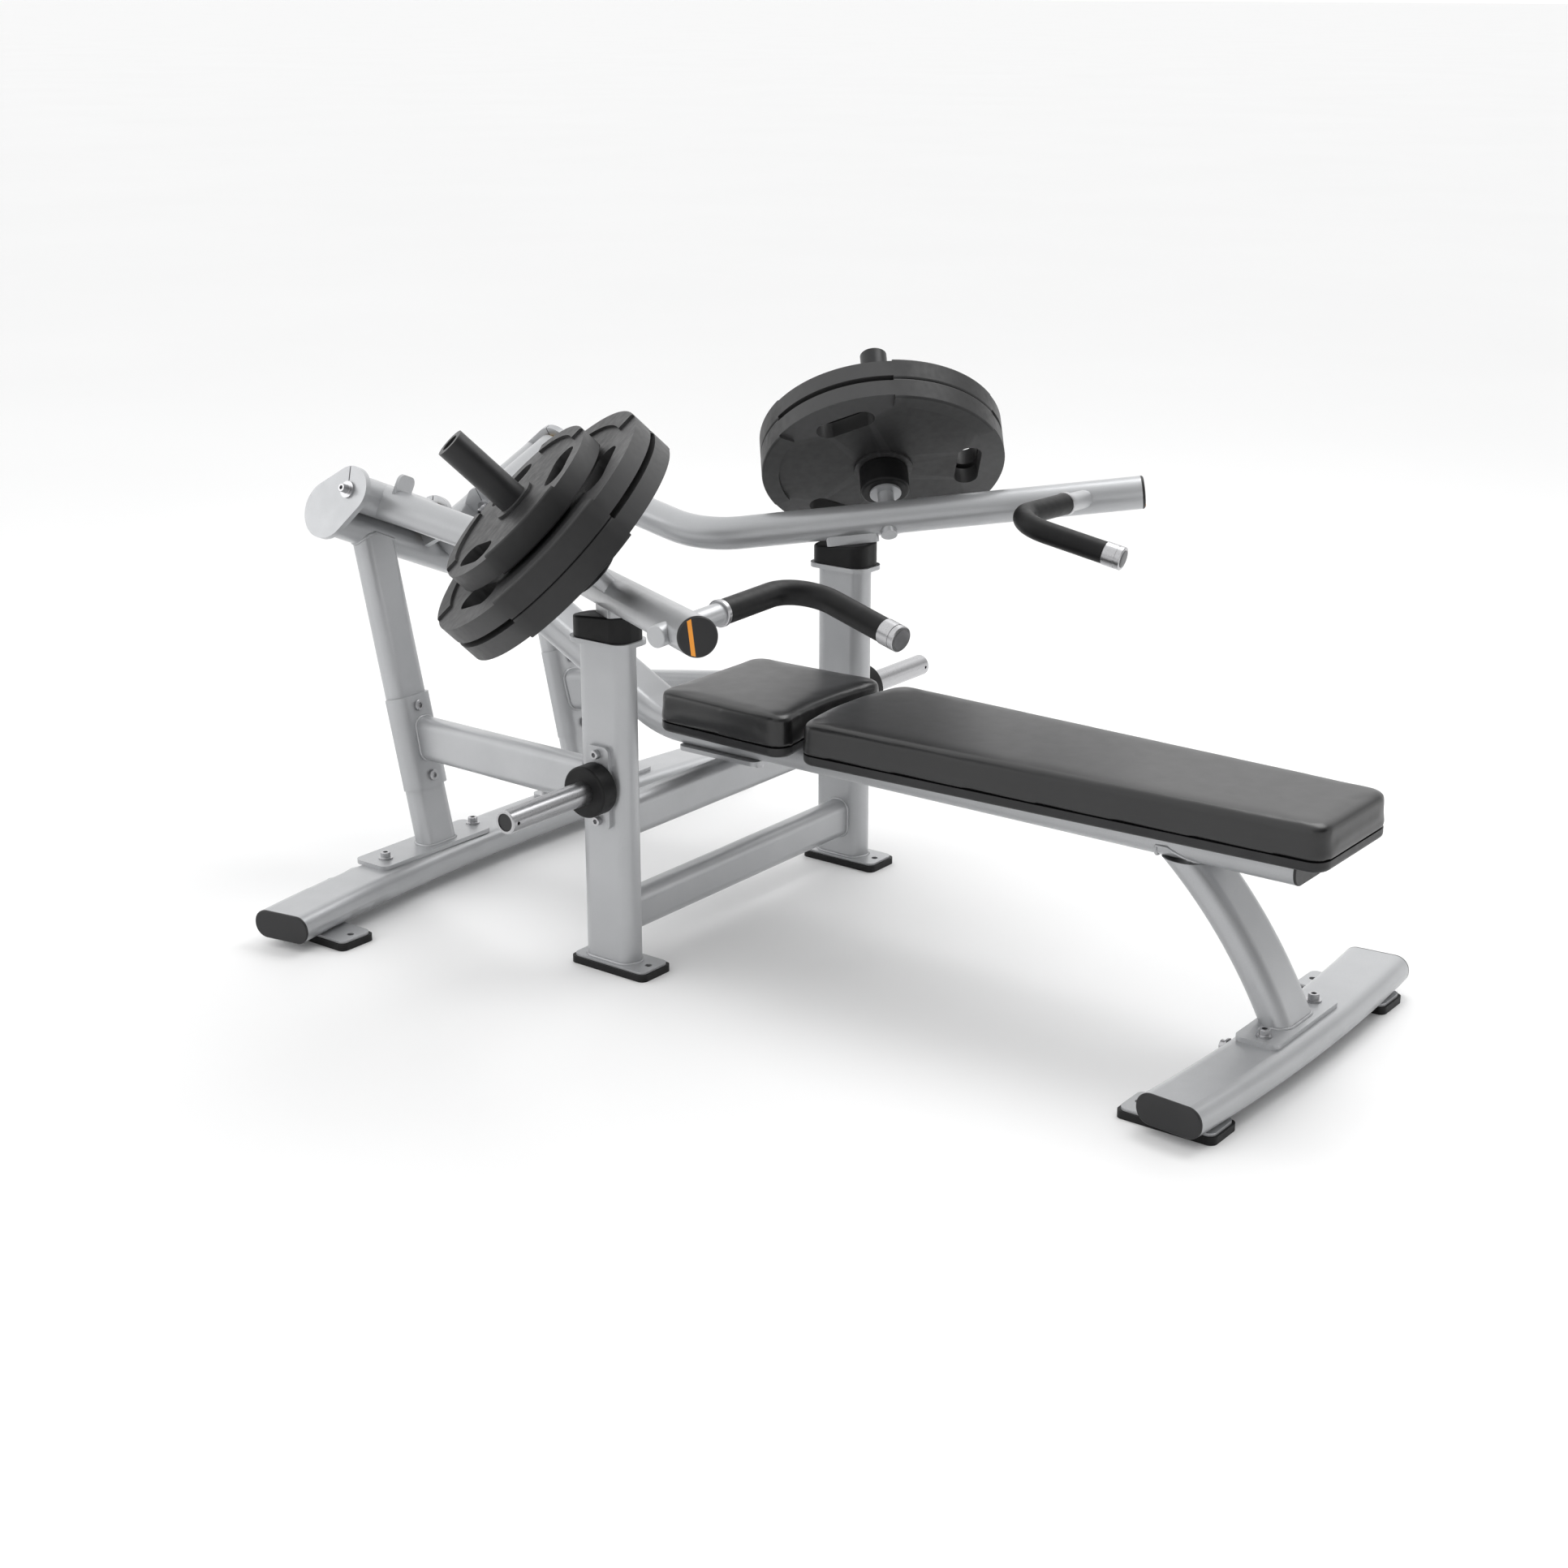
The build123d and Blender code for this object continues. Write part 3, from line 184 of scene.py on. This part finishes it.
def polished(name, low, high, rough_low, rough_high):
    """Bare metal with a fine, faint grain in its colour, gloss and surface."""
    material, tree, shader, place = nodes_of(name)
    grain = noise(tree, place, 420.0, 3.0, 0.5)
    tree.links.new(ramp(tree, grain, low, high), shader.inputs["Base Color"])
    tree.links.new(spread(tree, grain, rough_low, rough_high), shader.inputs["Roughness"])
    shader.inputs["Metallic"].default_value = 1.0
    bump(tree, shader, [(grain, 0.02, 0.00005)])
    return material


def plate_iron():
    """Dark charcoal plate coat: soft hammered texture, with a painted highlight that makes its edges and
    high spots paler.
    """
    material, tree, shader, place = nodes_of("plate_coat")
    cloud = noise(tree, place, 11.0)
    # Painted highlight: pointiness makes the colour paler on edges and high spots.
    geometry = tree.nodes.new("ShaderNodeNewGeometry")
    painted_edge_highlight = tree.nodes.new("ShaderNodeMapRange")
    painted_edge_highlight.inputs["From Min"].default_value = 0.50
    painted_edge_highlight.inputs["From Max"].default_value = 0.62
    tree.links.new(geometry.outputs["Pointiness"], painted_edge_highlight.inputs["Value"])
    mix = tree.nodes.new("ShaderNodeMix")
    mix.data_type = "RGBA"
    tree.links.new(painted_edge_highlight.outputs["Result"], mix.inputs["Factor"])
    tree.links.new(ramp(tree, cloud, (0.015, 0.015, 0.0155), (0.023, 0.023, 0.0235)), mix.inputs["A"])
    mix.inputs["B"].default_value = (0.055, 0.055, 0.056, 1)
    tree.links.new(mix.outputs["Result"], shader.inputs["Base Color"])
    tree.links.new(spread(tree, noise(tree, place, 70.0), 0.42, 0.55), shader.inputs["Roughness"])
    shader.inputs["Specular IOR Level"].default_value = 0.35
    bump(tree, shader, [(noise(tree, place, 700.0, 3.0), 0.12, 0.0003)])
    return material


def painted(name, low, high, rough):
    """Plain moulded colour with a little cloudiness and fine grain."""
    material, tree, shader, place = nodes_of(name)
    tree.links.new(ramp(tree, noise(tree, place, 30.0), low, high), shader.inputs["Base Color"])
    gloss = spread(tree, noise(tree, place, 80.0), rough - 0.05, rough + 0.05)
    tree.links.new(gloss, shader.inputs["Roughness"])
    bump(tree, shader, [(noise(tree, place, 900.0, 2.0), 0.12, 0.0003)])
    return material


CHROME = ((0.43, 0.43, 0.44), (0.49, 0.49, 0.50))
STEEL = ((0.45, 0.45, 0.46), (0.56, 0.56, 0.57))
BRONZE = ((0.46, 0.33, 0.15), (0.58, 0.42, 0.20))
BLACK_OXIDE = ((0.020, 0.020, 0.022), (0.035, 0.035, 0.038))
MATERIALS = {
    "powder": powder_coat(),
    "rubber": black_rubber(),
    "plastic": black_plastic(),
    "vinyl": vinyl(),
    "chrome": polished("satin_chrome", *CHROME, 0.27, 0.33),
    "steel": polished("turned_steel", *STEEL, 0.28, 0.40),
    "bronze": polished("bush_bronze", *BRONZE, 0.32, 0.45),
    "iron": plate_iron(),
    "black_bolt": polished("black_oxide", *BLACK_OXIDE, 0.30, 0.42),
}
ORANGE = painted("orange_inlay", (0.86, 0.30, 0.02), (0.92, 0.36, 0.04), 0.38)
GREY_PLUG = painted("grey_plug", (0.10, 0.10, 0.105), (0.14, 0.14, 0.145), 0.45)

for node_name, node in frame["nodes"].items():
    finish = MATERIALS[SLOTS[node_name]]
    if not node.material_slots:
        node.data.materials.append(finish)
    for material_slot in node.material_slots:
        material_slot.material = finish


# ---------------------------------------------------------------- piece helpers
def new_piece(name, mesh, body, material):
    """A finished mesh as a piece on a body."""
    piece = bpy.data.objects.new(name, mesh)
    bpy.context.scene.collection.objects.link(piece)
    if not mesh.materials:
        mesh.materials.append(material)
    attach(piece, body)
    return piece


def apply_modifiers(piece):
    """Turns a piece's modifiers into its mesh."""
    graph = bpy.context.evaluated_depsgraph_get()
    done = bpy.data.meshes.new_from_object(piece.evaluated_get(graph))
    piece.modifiers.clear()
    piece.data = done


def smooth(mesh):
    for polygon in mesh.polygons:
        polygon.use_smooth = True


# ---------------------------------------------------------------- pads
VOXEL = 0.005
SHRINK = 0.0012
SWELL_CAP = 0.0016
PRESSURE = 4.0
CLOTH_STEPS = 20


def cushion(node_name, body):
    """Upholstered pad: the pad's own form, remeshed and blown up as cloth over a fixed underside."""
    low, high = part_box(node_name)
    mesh = frame["nodes"][node_name].data.copy()
    mesh.materials.clear()
    work = bpy.data.objects.new(f"{node_name}_work", mesh)
    bpy.context.scene.collection.objects.link(work)
    form = bmesh.new()
    form.from_mesh(mesh)
    bmesh.ops.remove_doubles(form, verts=form.verts, dist=1e-5)
    form.to_mesh(mesh)
    form.free()
    remesh = work.modifiers.new("voxels", "REMESH")
    remesh.mode = "VOXEL"
    remesh.voxel_size = VOXEL
    apply_modifiers(work)
    mesh = work.data
    base = low[2] + 2 * VOXEL
    for vertex, normal in [(v, v.normal.copy()) for v in mesh.vertices]:
        if vertex.co.z > base:
            vertex.co -= normal * SHRINK
    start = [v.co.copy() for v in mesh.vertices]
    underside = work.vertex_groups.new(name="underside")
    underside.add([v.index for v in mesh.vertices if v.co.z < base], 1.0, "REPLACE")
    cloth = work.modifiers.new("cloth", "CLOTH")
    cloth.settings.use_pressure = True
    cloth.settings.uniform_pressure_force = PRESSURE
    cloth.settings.effector_weights.gravity = 0.0
    cloth.settings.vertex_group_mass = "underside"
    cloth.settings.quality = 4
    cloth.point_cache.frame_start = 1
    cloth.point_cache.frame_end = CLOTH_STEPS
    for step in range(1, CLOTH_STEPS + 1):
        bpy.context.scene.frame_set(step)
    apply_modifiers(work)
    bpy.context.scene.frame_set(1)
    mesh = work.data
    for vertex, before in zip(mesh.vertices, start):
        move = vertex.co - before
        if move.length > SWELL_CAP:
            vertex.co = before + move.normalized() * SWELL_CAP
    even = work.modifiers.new("even", "SMOOTH")
    even.factor = 0.5
    even.iterations = 9
    finer = work.modifiers.new("finer", "SUBSURF")
    finer.levels = 1
    apply_modifiers(work)
    mesh = work.data
    smooth(mesh)
    for vertex in mesh.vertices:
        vertex.co.z = max(vertex.co.z, low[2])
    bpy.data.objects.remove(work)
    mesh.materials.clear()
    piece = new_piece(f"{node_name}_cushion", mesh, body, MATERIALS["vinyl"])
    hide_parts(node_name)


for pad in ("head_pad", "bench_pad"):
    cushion(pad, "frame")

# ---------------------------------------------------------------- weld beads
BEAD_RADIUS = 0.0028
BEAD_STEP = 0.0022
RIPPLE = 0.22
RIPPLE_TURN = 0.9 * math.pi
BEAD_SIDES = 8
FEWEST_HITS = 12


def outline(node_name, place, normal):
    """The longest closed loop that a plane cuts from a node, as points."""
    form = bmesh.new()
    form.from_mesh(frame["nodes"][node_name].data)
    bmesh.ops.remove_doubles(form, verts=form.verts, dist=1e-5)
    parts = form.verts[:] + form.edges[:] + form.faces[:]
    bmesh.ops.bisect_plane(
        form, geom=parts, plane_co=place, plane_no=normal, clear_inner=True, clear_outer=True
    )
    loops, seen = [], set()
    for first in form.verts:
        if first in seen:
            continue
        loop, step = [], first
        while step and step not in seen:
            seen.add(step)
            loop.append(step.co.copy())
            others = (e.other_vert(step) for e in step.link_edges)
            step = next((other for other in others if other not in seen), None)
        loops.append(loop)
    form.free()
    return max(loops, key=lambda loop: sum((a - b).length for a, b in zip(loop, loop[1:])))


def surface(node_name):
    """A node's surface for casting onto."""
    mesh = frame["nodes"][node_name].data
    return BVHTree.FromPolygons([v.co for v in mesh.vertices], [p.vertices for p in mesh.polygons])


def even_steps(points, step):
    """Points at even steps along a closed loop."""
    ring = points + points[:1]
    lengths = [(b - a).length for a, b in zip(ring, ring[1:])]
    total = sum(lengths)
    count = max(12, round(total / step))
    result, index, walked = [], 0, 0.0
    for k in range(count):
        target = total * k / count
        while walked + lengths[index] < target:
            walked += lengths[index]
            index += 1
        share = (target - walked) / max(lengths[index], 1e-9)
        result.append(ring[index].lerp(ring[index + 1], share))
    return result


def bead(name, points, body):
    """Rippled weld bead along a closed run of points."""
    middle = sum(points, Vector()) / len(points)
    verts, faces = [], []
    for k, point in enumerate(points):
        along = (points[(k + 1) % len(points)] - points[k - 1]).normalized()
        out = (point - middle) - along * (point - middle).dot(along)
        out.normalize()
        side = along.cross(out)
        radius = BEAD_RADIUS * (1 + RIPPLE * math.sin(k * RIPPLE_TURN))
        for j in range(BEAD_SIDES):
            turn = 2 * math.pi * j / BEAD_SIDES
            verts.append(point + radius * (math.cos(turn) * out + math.sin(turn) * side))
    count = len(points)
    for k in range(count):
        for j in range(BEAD_SIDES):
            a, b = k * BEAD_SIDES, ((k + 1) % count) * BEAD_SIDES
            turn = (j + 1) % BEAD_SIDES
            faces.append((a + j, a + turn, b + turn, b + j))
    mesh = bpy.data.meshes.new(name)
    mesh.from_pydata(verts, [], faces)
    smooth(mesh)
    new_piece(name, mesh, body, MATERIALS["powder"])


def weld(name, node_name, place, direction, target, body):
    """Bead where a tube, cut at a place and carried along a direction, meets a target node."""
    direction = Vector(direction).normalized()
    tube = outline(node_name, Vector(place), direction)
    middle = sum(tube, Vector()) / len(tube)
    skin = surface(target)
    hits = []
    for point in even_steps(tube, BEAD_STEP):
        start = point + (point - middle).normalized() * 0.0004
        hit = skin.ray_cast(start, direction, 0.4)[0]
        if hit:
            hits.append(hit)
    if len(hits) > FEWEST_HITS:
        bead(name, hits, body)


def middle_of(node_name):
    """A node's box: its lowest corner, highest corner and centre."""
    low, high = (Vector(corner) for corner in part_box(node_name))
    return low, high, (low + high) / 2


UPRIGHT_CUT = 0.08
CROSS_CUT_Y = 0.25
REAR_FOOT_CUT = 0.09
REAR_TOP_CUT = 0.12
LEG_CUT = 0.03
REAR_LEAN = Vector((-0.227, 0.0, 1.0))


def weld_all():
    """Every bead that shows, worked out from the boxes of the welded nodes."""
    for word, side in (("right", -1), ("left", 1)):
        upright = f"front_upright_{word}"
        low, high, middle = middle_of(upright)
        for tag, height, way in (("foot", low.z + UPRIGHT_CUT, -1), ("top", high.z - UPRIGHT_CUT, 1)):
            place = (middle.x, middle.y, height)
            weld(f"weld_upright_{tag}_{word}", upright, place, (0, 0, way), upright, "frame")
        for tube in ("lower_cross_tube", "upper_cross_tube"):
            middle = middle_of(tube)[2]
            place = (middle.x, side * CROSS_CUT_Y, middle.z)
            weld(f"weld_{tube}_{word}", tube, place, (0, side, 0), upright, "frame")
        rear = f"rear_upright_{word}"
        low, high, middle = middle_of(rear)
        foot, top = low.z + REAR_FOOT_CUT, high.z - REAR_TOP_CUT
        weld(f"weld_rear_foot_{word}", rear, (middle.x, middle.y, foot), REAR_LEAN * -1, rear, "frame")
        weld(f"weld_rear_top_{word}", rear, (middle.x, middle.y, top), REAR_LEAN, "pivot_beam", "frame")
        tube = f"side_tube_{word}"
        middle = middle_of(tube)[2]
        run = Vector((0.4970, side * 0.1215, 0.0510)).normalized()
        weld(f"weld_side_front_{word}", tube, middle, run, upright, "frame")
        weld(f"weld_side_rear_{word}", tube, middle, run * -1, tube, "frame")
    low, high, middle = middle_of("bench_leg")
    top, foot = (middle.x, 0.0, high.z - LEG_CUT), (high.x, 0.0, low.z + LEG_CUT)
    weld("weld_leg_top", "bench_leg", top, (-0.73, 0.0, 0.68), "bench_rail", "frame")
    weld("weld_leg_foot", "bench_leg", foot, (0.44, 0.0, -0.90), "bench_leg", "frame")


weld_all()


# ---------------------------------------------------------------- arm caps and handle plugs
def turned(name, profile, place, axis, body, material, sides=72):
    """Lathe-turned piece: profile is (radius, height) points along an axis, closed at both ends."""
    axis = Vector(axis).normalized()
    across = axis.orthogonal().normalized()
    up = axis.cross(across)
    form = bmesh.new()
    rings = []
    for radius, height in profile:
        ring = []
        for k in range(sides):
            turn = 2 * math.pi * k / sides
            spoke = math.cos(turn) * across + math.sin(turn) * up
            ring.append(form.verts.new(Vector(place) + axis * height + spoke * radius))
        rings.append(ring)
    for lower, upper in zip(rings, rings[1:]):
        for k in range(sides):
            nxt = (k + 1) % sides
            form.faces.new((lower[k], lower[nxt], upper[nxt], upper[k]))
    form.faces.new(rings[0][::-1])
    form.faces.new(rings[-1])
    mesh = bpy.data.meshes.new(name)
    form.to_mesh(mesh)
    form.free()
    smooth(mesh)
    new_piece(name, mesh, body, material)


def end_of(node_name, axis):
    """The centre, radius and outward direction of a round node's end face, nearest to an axis."""
    axis = Vector(axis).normalized()
    mesh = frame["nodes"][node_name].data
    flat = [p for p in mesh.polygons if p.normal.dot(axis) > 0.9]
    reach = max(p.center.dot(axis) for p in flat)
    last = [p for p in flat if p.center.dot(axis) > reach - 0.002]
    normal = sum((p.normal * p.area for p in last), Vector()).normalized()
    last = [p for p in last if p.normal.dot(normal) > 0.9999]
    centre = sum((p.center * p.area for p in last), Vector()) / sum(p.area for p in last)
    radius = max((mesh.vertices[i].co - centre).length for p in last for i in p.vertices)
    return centre, radius, normal


STRIPE_WIDTH = 0.0064


def cap_stripe(word, side, share, turn):
    """Orange inlay on an arm's end cap: a chord at a share of the radius, turned about the axis."""
    centre, radius, axis = end_of(f"arm_cap_{word}", (0.8152, side * 0.5693, 0.1150))
    up = (Vector((0, 0, 1)) - axis * axis.z).normalized()
    up.rotate(Quaternion(axis, math.radians(turn)))
    across = axis.cross(up)
    middle = share * radius
    form = bmesh.new()
    rims = []
    for level in (-0.0008, 0.0005):
        rim = []
        for way, steps in ((1, range(9)), (-1, range(8, -1, -1))):
            for k in steps:
                x = middle + STRIPE_WIDTH * (k / 8 - 0.5)
                y = way * math.sqrt(max(radius ** 2 - x ** 2, 0.0)) * 0.995
                rim.append(form.verts.new(centre + across * x + up * y + axis * level))
        rims.append(rim)
    form.faces.new(rims[1])
    form.faces.new(rims[0][::-1])
    count = len(rims[0])
    for k in range(count):
        nxt = (k + 1) % count
        form.faces.new((rims[0][k], rims[0][nxt], rims[1][nxt], rims[1][k]))
    bmesh.ops.recalc_face_normals(form, faces=form.faces)
    mesh = bpy.data.meshes.new(f"cap_stripe_{word}")
    form.to_mesh(mesh)
    form.free()
    new_piece(f"cap_stripe_{word}", mesh, f"{word}_arm", ORANGE)


cap_stripe("right", -1, 0.36, 5.0)
cap_stripe("left", 1, 0.74, 90.0)


PLUG_PROFILE = ((0.80, -0.0006), (0.80, 0.0005), (0.76, 0.0011), (0.30, 0.0013), (0.02, 0.0013))


def handle_plug(word, side):
    """Grey plug standing in the tip of a handle, inside the steel ferrule."""
    centre, radius, axis = end_of(f"grip_ferrules_{word}", (0.2133, side * 0.0330, -0.0470))
    profile = [(share * radius, height) for share, height in PLUG_PROFILE]
    turned(f"handle_plug_{word}", profile, centre, axis, f"{word}_arm", GREY_PLUG)


for word, side in (("right", -1), ("left", 1)):
    handle_plug(word, side)

# ---------------------------------------------------------------- stage, light and camera
FLOOR_SIZE = 300.0
floor_mesh = bpy.data.meshes.new("floor")
corner = FLOOR_SIZE / 2
corners = [(-corner, -corner, 0), (corner, -corner, 0), (corner, corner, 0), (-corner, corner, 0)]
floor_mesh.from_pydata(corners, [], [(0, 1, 2, 3)])
floor = bpy.data.objects.new("floor", floor_mesh)
bpy.context.scene.collection.objects.link(floor)
floor_material, floor_tree, floor_shader, floor_place = nodes_of("pale_floor")
floor_tree.links.new(
    ramp(floor_tree, noise(floor_tree, floor_place, 0.6), (0.95, 0.95, 0.95), (0.97, 0.97, 0.97)),
    floor_shader.inputs["Base Color"],
)
floor_shader.inputs["Roughness"].default_value = 0.6
floor_mesh.materials.append(floor_material)


def softbox(name, place, aim, size, power):
    """Square area light aimed at a point."""
    lamp = bpy.data.lights.new(name, "AREA")
    lamp.shape = "RECTANGLE"
    lamp.size, lamp.size_y = size
    lamp.energy = power
    holder = bpy.data.objects.new(name, lamp)
    bpy.context.scene.collection.objects.link(holder)
    holder.location = place
    holder.rotation_euler = (Vector(aim) - Vector(place)).to_track_quat("-Z", "Y").to_euler()


softbox("top_light", (0.6, 1.6, 3.4), (0.0, 0.0, 0.3), (2.6, 1.8), 52.0)
softbox("side_light", (3.6, 2.2, 1.8), (0.2, 0.0, 0.4), (1.6, 1.6), 3.0)
softbox("left_light", (-3.4, -2.4, 1.6), (0.0, 0.0, 0.4), (1.2, 1.8), 10.0)

BRIGHT_END = 1.20
DARK_END = 0.15
RISE = (0.12, 0.30)
DARK_REACH = 0.8
world = bpy.data.worlds.new("studio")
bpy.context.scene.world = world
world.use_nodes = True
world_tree = world.node_tree
backdrop = world_tree.nodes["Background"]
backdrop.inputs["Color"].default_value = (1.0, 1.0, 1.0, 1.0)
heading = world_tree.nodes.new("ShaderNodeTexCoord")
parts = world_tree.nodes.new("ShaderNodeSeparateXYZ")
rise = world_tree.nodes.new("ShaderNodeMapRange")
rise.inputs["From Min"].default_value = RISE[0]
rise.inputs["From Max"].default_value = RISE[1]
high_side = world_tree.nodes.new("ShaderNodeMath")
high_side.operation = "MULTIPLY"
fade = world_tree.nodes.new("ShaderNodeMapRange")
fade.inputs["From Min"].default_value = 0.0
fade.inputs["From Max"].default_value = DARK_REACH
fade.inputs["To Min"].default_value = BRIGHT_END
fade.inputs["To Max"].default_value = DARK_END
world_tree.links.new(heading.outputs["Generated"], parts.inputs["Vector"])
world_tree.links.new(parts.outputs["Z"], rise.inputs["Value"])
world_tree.links.new(parts.outputs["X"], high_side.inputs[0])
world_tree.links.new(rise.outputs["Result"], high_side.inputs[1])
world_tree.links.new(high_side.outputs["Value"], fade.inputs["Value"])
world_tree.links.new(fade.outputs["Result"], backdrop.inputs["Strength"])
bpy.context.scene.view_settings.view_transform = "Standard"

lens = bpy.data.cameras.new("camera")
lens.lens = CAMERA_LENS
lens.sensor_width = 36.0
camera = bpy.data.objects.new("camera", lens)
bpy.context.scene.collection.objects.link(camera)
camera.location = CAMERA_PLACE
camera.rotation_euler = (math.pi / 2 - CAMERA_ELEVATION, 0.0, CAMERA_AZIMUTH)
bpy.context.scene.camera = camera
